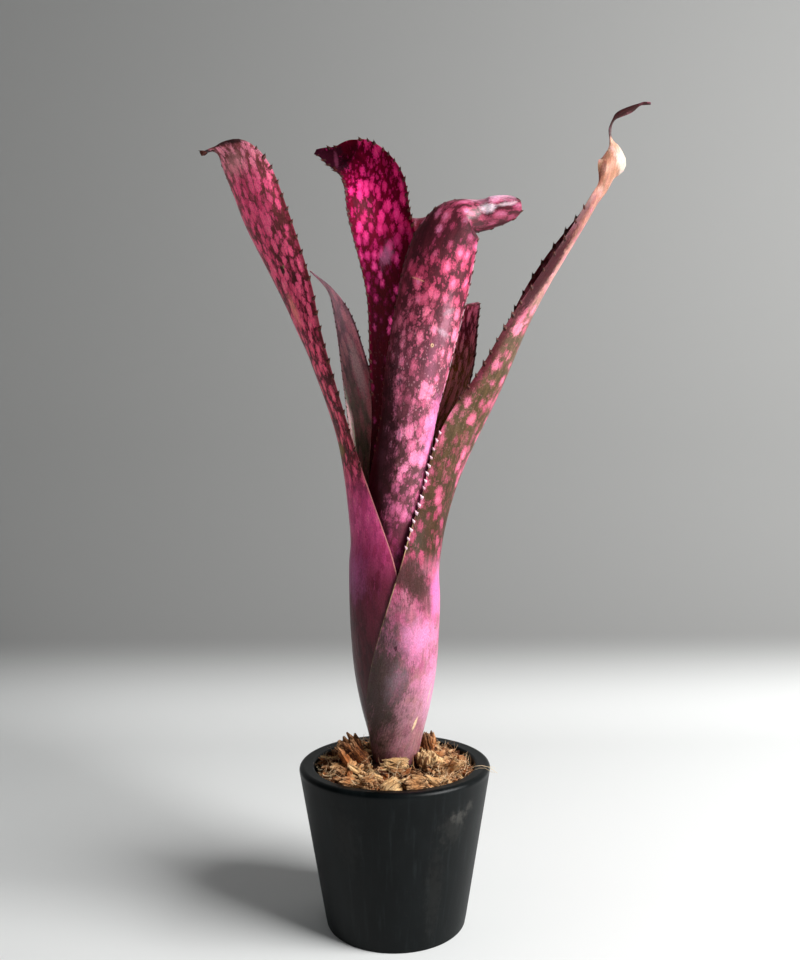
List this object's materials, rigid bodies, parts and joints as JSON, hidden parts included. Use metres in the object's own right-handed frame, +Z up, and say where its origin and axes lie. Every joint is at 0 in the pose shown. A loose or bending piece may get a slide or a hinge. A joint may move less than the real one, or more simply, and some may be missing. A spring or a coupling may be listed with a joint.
{
  "type": "potted teng ee billbergia",
  "caption": "Potted tubular bromeliad with upright spine-edged strap leaves, mottled magenta and maroon, growing in husk chips in a plain black tapered pot.",
  "frame": {"origin": "centre of the pot's flat underside, on the surface that the pot stands on", "axes": "+Z up along the pot's axis; -Y towards the viewer of the picture; +X to that viewer's right"},
  "size_m": [0.2491, 0.1192, 0.4518],
  "materials": {
    "pot_plastic": "matte charcoal black, faintly scuffed and dusty",
    "husk_chips": "dry, rough, fibrous coconut husk, orange-brown to tan",
    "stem_bark": "dry, brown, woody stem base",
    "leaf_rose_beige": "waxy living leaf, rose to beige with olive-brown mottles, pale mauve sheath",
    "leaf_raspberry": "waxy living leaf, raspberry pink with maroon streaks, magenta-purple sheath",
    "leaf_maroon_olive": "waxy living leaf, maroon turning olive lower down, pink spots",
    "leaf_grey_purple": "waxy living leaf, grey-purple with long pink spots",
    "leaf_mauve_pink": "waxy living leaf, brown-mauve with pink blotches and silvery scurf",
    "leaf_plum": "waxy living leaf, plum with pink spots",
    "leaf_magenta_wine": "glossy living leaf, near-black wine with long magenta spots"
  },
  "bodies": {
    "root": {"pot": "pot_plastic", "husk_bed": "husk_chips", "stem": "stem_bark", "leaf_right": "leaf_rose_beige", "leaf_left": "leaf_raspberry", "leaf_back_right": "leaf_maroon_olive", "leaf_back_left": "leaf_grey_purple", "leaf_front": "leaf_mauve_pink", "leaf_back": "leaf_plum", "leaf_tall_left": "leaf_magenta_wine"}
  },
  "joints": []
}
